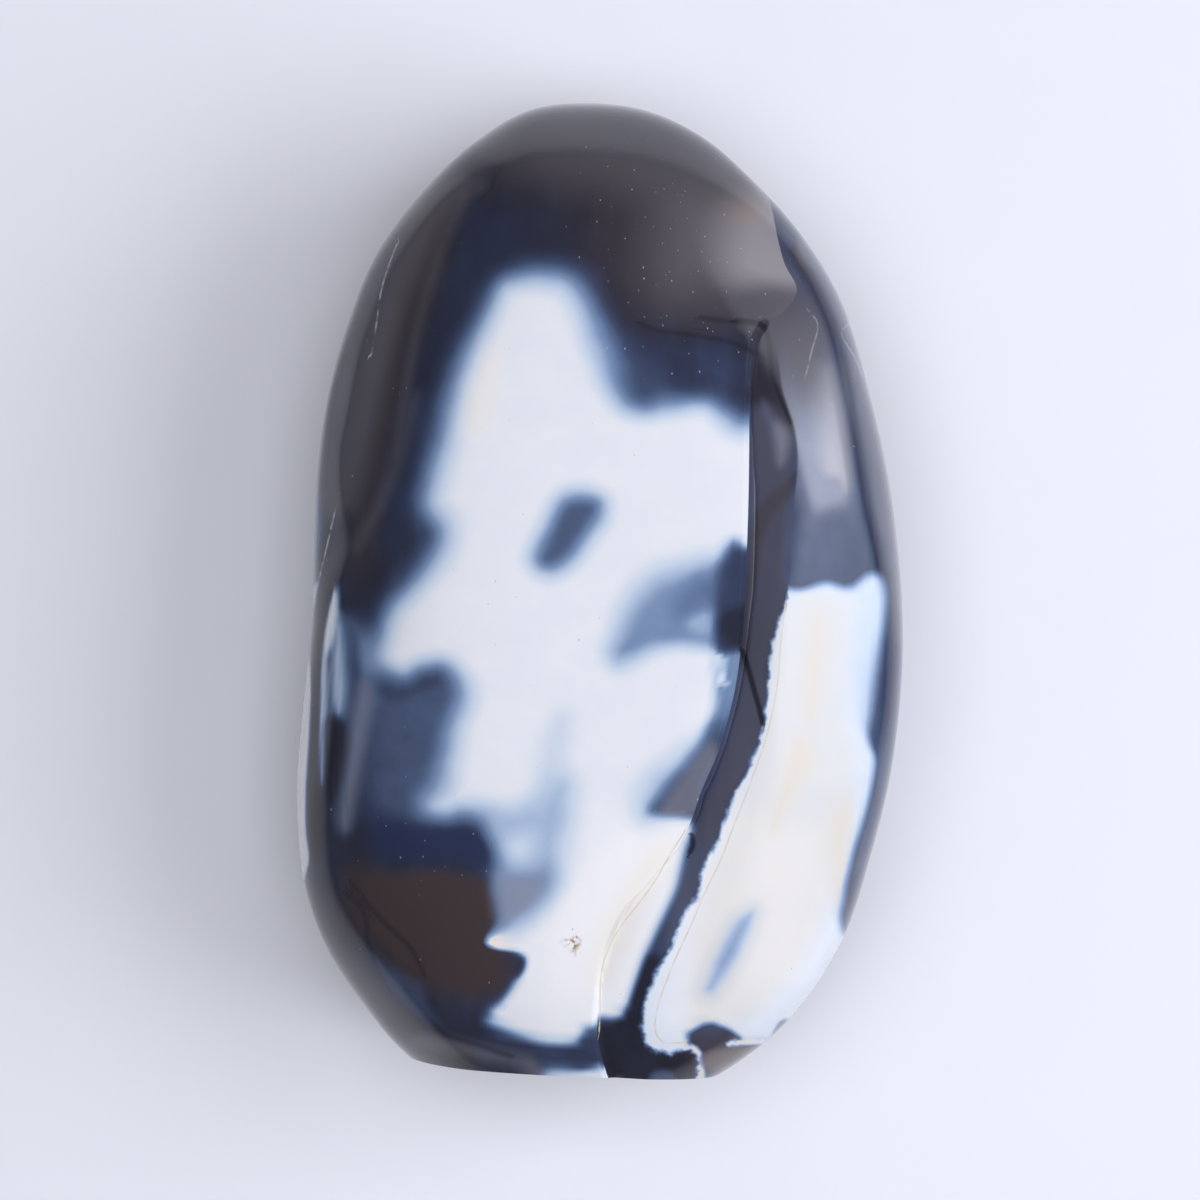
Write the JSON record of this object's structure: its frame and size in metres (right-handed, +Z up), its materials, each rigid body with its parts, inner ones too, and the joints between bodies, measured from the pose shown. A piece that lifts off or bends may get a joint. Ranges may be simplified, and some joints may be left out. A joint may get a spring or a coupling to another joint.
{
  "type": "agate freeform",
  "caption": "Polished agate freeform: a domed dark stone with soft white patches, a ledge and groove down its front, a flat base to stand on and a flat back to lie on.",
  "frame": {"origin": "on the surface that the stone lies on, under the middle of its outline", "axes": "+Z up from the back to the front face, +Y along the length from the cut base to the rounded top, +X to the right when the front is seen from above"},
  "size_m": [0.0724, 0.1164, 0.041],
  "materials": {
    "polished_agate": "polished stone, opaque, soft white patches in blue-black and brown-black"
  },
  "bodies": {
    "root": {"agate": "polished_agate"}
  },
  "joints": []
}
